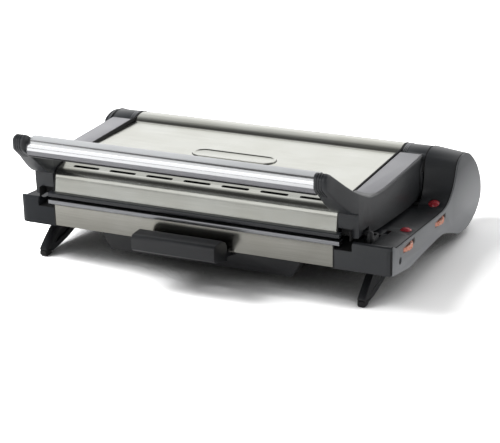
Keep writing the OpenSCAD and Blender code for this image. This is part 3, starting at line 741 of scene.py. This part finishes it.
def make_floor():
    """A pale floor that reads as white, keeps the cast shadow and has a painted contact shadow under the
    object.
    """
    bm = bmesh.new()
    bmesh.ops.create_grid(bm, x_segments=1, y_segments=1, size=FLOOR_SIZE)
    mesh = bpy.data.meshes.new("floor")
    bm.to_mesh(mesh)
    bm.free()
    floor = bpy.data.objects.new("floor", mesh)
    bpy.context.scene.collection.objects.link(floor)
    material, tree, shader = principled("pale_floor", Roughness=0.9)
    ray = add(tree, "ShaderNodeLightPath")
    # Painted contact shadow: the camera's floor colour falls with the share of open sky over each point.
    open_sky = add(tree, "ShaderNodeAmbientOcclusion", samples=8, Distance=CONTACT_REACH)
    shade = spread(tree, open_sky.outputs["AO"], FLOOR_COVERED, FLOOR_SEEN, SKY_COVERED, SKY_OPEN)
    grey = add(tree, "ShaderNodeCombineColor", {"Red": shade, "Green": shade, "Blue": shade})
    seen = add(tree, "ShaderNodeBsdfDiffuse", {"Color": grey.outputs["Color"]})
    real = add(tree, "ShaderNodeBsdfDiffuse", Color=(FLOOR_REAL, FLOOR_REAL, FLOOR_REAL, 1))
    mix = add(tree, "ShaderNodeMixShader", {"Fac": ray.outputs["Is Camera Ray"]})
    tree.links.new(real.outputs["BSDF"], mix.inputs[1])
    tree.links.new(seen.outputs["BSDF"], mix.inputs[2])
    tree.links.new(mix.outputs["Shader"], tree.nodes["Material Output"].inputs["Surface"])
    tree.nodes.remove(shader)
    mesh.materials.append(material)


# World. SKY pairs a height, 0 at the horizon and 1 straight up, with its light. BACKDROP is the strength
# behind the object and ROOM the strength in front of it.
BACKDROP = 1.35
ROOM = 0.30
BACKDROP_EDGE = (0.05, 0.45)
SKY = ((0.38, 1.0), (0.60, 0.74), (0.74, 0.58), (0.83, 0.30), (0.90, 0.07), (1.0, 0.50))


def make_world():
    """White to the camera. The object sees a bright backdrop behind it in a duller room, dark high up."""
    world = bpy.data.worlds.new("studio")
    world.use_nodes = True
    bpy.context.scene.world = world
    tree = world.node_tree
    tree.nodes.clear()
    place = add(tree, "ShaderNodeTexCoord")
    way = add(tree, "ShaderNodeSeparateXYZ", {"Vector": place.outputs["Generated"]})
    around = spread(tree, way.outputs["Y"], ROOM, BACKDROP, *BACKDROP_EDGE)
    ramp = add(tree, "ShaderNodeValToRGB", {"Fac": way.outputs["Z"]})
    stops = ramp.color_ramp.elements
    while len(stops) < len(SKY):
        stops.new(0.5)
    for stop, (height, level) in zip(stops, SKY):
        stop.position = height
        stop.color = (level, level, level, 1)
    strength = add(tree, "ShaderNodeMath", operation="MULTIPLY")
    tree.links.new(around, strength.inputs[0])
    tree.links.new(ramp.outputs["Color"], strength.inputs[1])
    light = add(tree, "ShaderNodeBackground", {"Strength": strength.outputs["Value"]}, Color=(1, 1, 1, 1))
    seen = add(tree, "ShaderNodeBackground", Color=(1, 1, 1, 1), Strength=1.0)
    ray = add(tree, "ShaderNodeLightPath")
    mix = add(tree, "ShaderNodeMixShader", {"Fac": ray.outputs["Is Camera Ray"]})
    tree.links.new(light.outputs["Background"], mix.inputs[1])
    tree.links.new(seen.outputs["Background"], mix.inputs[2])
    out = add(tree, "ShaderNodeOutputWorld")
    tree.links.new(mix.outputs["Shader"], out.inputs["Surface"])


# Lights, with places and sizes in metres and power in watts

def area_light(name, place, aim, size, power):
    data = bpy.data.lights.new(name, "AREA")
    data.shape = "RECTANGLE"
    data.size = size[0]
    data.size_y = size[1]
    data.energy = power
    light = bpy.data.objects.new(name, data)
    light.location = place
    light.rotation_euler = (Vector(aim) - Vector(place)).to_track_quat("-Z", "Y").to_euler()
    bpy.context.scene.collection.objects.link(light)
    return light


def make_lights(chrome_strip):
    """A key light that shows in no reflection, a light for the chromed strip alone and a front light."""
    key = area_light("key_softbox", (-1.0, -0.56, 1.25), (0, 0, 0.05), size=(0.8, 0.8), power=27)
    key.visible_glossy = False
    strip = area_light("handle_strip_light", (-0.5, -0.8, 1.6), (-0.2, -0.05, 0.15), size=(2.2, 1.3),
        power=7)
    lit = bpy.data.collections.new("lit_by_the_strip_light")
    lit.objects.link(chrome_strip)
    strip.light_linking.receiver_collection = lit
    area_light("front_panel", (-0.6, -1.9, 1.05), (-0.1, 0, 0.1), size=(2.4, 1.8), power=12)


# The whole scene

dress_base()
dress_cooking_side()
dress_lid()
chrome_strip = handle()
collar_rings()
collar_gaps()
peg_hole_shade()
cover_groove_shades()
corner_groove_shade()
shade_strips()
lid_seals()
badge()
make_camera()
make_floor()
make_world()
make_lights(chrome_strip)

bpy.context.scene.view_settings.view_transform = "Standard"
